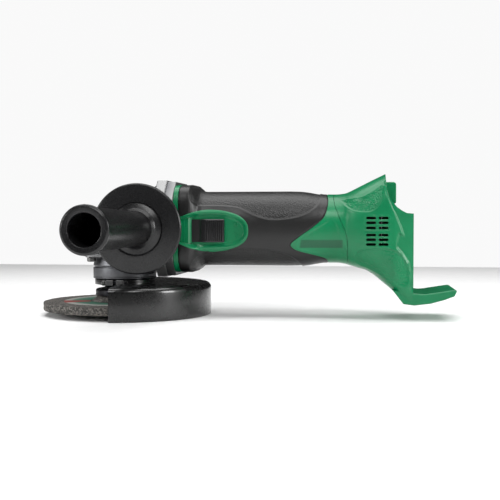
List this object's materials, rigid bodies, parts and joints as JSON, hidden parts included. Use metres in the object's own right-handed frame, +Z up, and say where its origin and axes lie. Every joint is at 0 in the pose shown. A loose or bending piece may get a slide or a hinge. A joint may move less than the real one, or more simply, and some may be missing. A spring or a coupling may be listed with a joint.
{
  "type": "cordless angle grinder",
  "caption": "Cordless angle grinder without its battery: cast gear head, half guard, depressed-centre wheel, side handle, slide switch and rear battery seat.",
  "frame": {"origin": "centre of the spindle's lower end face, on the spindle's axis", "axes": "+Z up along the spindle towards the gear head, +X from the spindle to the battery end, -Y towards the side handle and the slide switch"},
  "size_m": [0.314, 0.2343, 0.1069],
  "materials": {
    "green_nylon": "moulded glass-filled nylon, fine spark-eroded grain, satin",
    "elastomer": "thermoplastic elastomer over-moulded on the nylon, matt",
    "black_nylon": "moulded glass-filled nylon, satin",
    "cast_aluminium": "die-cast aluminium alloy, blasted and grey-black coated",
    "steel": "turned or ground steel",
    "black_steel": "pressed or turned steel, black coated, semi-gloss",
    "copper": "varnished copper wire and copper bars",
    "brass": "stamped brass",
    "carbon": "pressed carbon, dull",
    "ferrite": "sintered ferrite, dull",
    "abrasive": "resin-bonded abrasive grain, coarse and dull"
  },
  "bodies": {
    "frame": {"motor_housing_left": "green_nylon", "motor_housing_right": "green_nylon", "rear_housing_left": "green_nylon", "rear_housing_right": "green_nylon", "overmold_left": "elastomer", "overmold_right": "elastomer", "switch_seal": "elastomer", "side_handle_grip": "black_nylon", "switch_body": "black_nylon", "controller": "black_nylon", "terminal_block": "black_nylon", "fan_baffle": "black_nylon", "gear_case": "cast_aluminium", "bearing_cover": "cast_aluminium", "spindle_lower_bearing": "steel", "spindle_upper_bearing": "steel", "front_bearing": "steel", "rear_bearing": "steel", "side_handle_stud": "steel", "lock_spring": "steel", "motor_yoke": "black_steel", "gear_case_screw_1": "black_steel", "gear_case_screw_2": "black_steel", "gear_case_screw_3": "black_steel", "gear_case_screw_4": "black_steel", "cover_screw_1": "black_steel", "cover_screw_2": "black_steel", "cover_screw_3": "black_steel", "cover_screw_4": "black_steel", "housing_screw_1": "black_steel", "housing_screw_2": "black_steel", "housing_screw_3": "black_steel", "housing_screw_4": "black_steel", "brush_holder_upper": "brass", "brush_holder_lower": "brass", "terminal_1": "brass", "terminal_2": "brass", "carbon_brush_upper": "carbon", "carbon_brush_lower": "carbon", "magnet_upper": "ferrite", "magnet_lower": "ferrite"},
    "guard": {"wheel_guard": "black_steel", "guard_clamp_screw": "black_steel"},
    "spindle_assembly": {"spindle": "steel", "ring_gear": "steel", "inner_flange": "black_steel", "grinding_wheel": "abrasive", "clamp_nut": "black_steel"},
    "rotor": {"motor_shaft": "steel", "pinion_gear": "steel", "cooling_fan": "black_nylon", "rotor_core": "black_steel", "winding_front": "copper", "winding_rear": "copper", "commutator": "copper"},
    "lock": {"lock_button": "black_nylon", "lock_pin": "steel"},
    "slider": {"slide_knob": "black_nylon", "slide_bar": "black_nylon"}
  },
  "joints": [
    {"name": "spindle_spin", "type": "hinge", "parent": "frame", "child": "spindle_assembly", "pos_m": [0, 0, 0], "axis": [0, 0, 1], "continuous": true},
    {"name": "motor_spin", "type": "hinge", "parent": "frame", "child": "rotor", "pos_m": [0, 0, 0.065], "axis": [1, 0, 0], "continuous": true},
    {"name": "guard_turn", "type": "hinge", "parent": "frame", "child": "guard", "pos_m": [0, 0, 0], "axis": [0, 0, 1], "range_deg": [-90, 90]},
    {"name": "switch_slide", "type": "slide", "parent": "frame", "child": "slider", "axis": [-1, 0, 0], "range_m": [0, 0.006], "stiffness_N_per_m": 500, "springref_m": -0.002},
    {"name": "lock_press", "type": "slide", "parent": "frame", "child": "lock", "axis": [0, 0, -1], "range_m": [0, 0.0042], "stiffness_N_per_m": 400, "springref_m": -0.002, "deforming": ["lock_spring"]}
  ],
  "couplings": [
    {"joint": "motor_spin", "follows": "spindle_spin", "ratio": 3.4286}
  ]
}
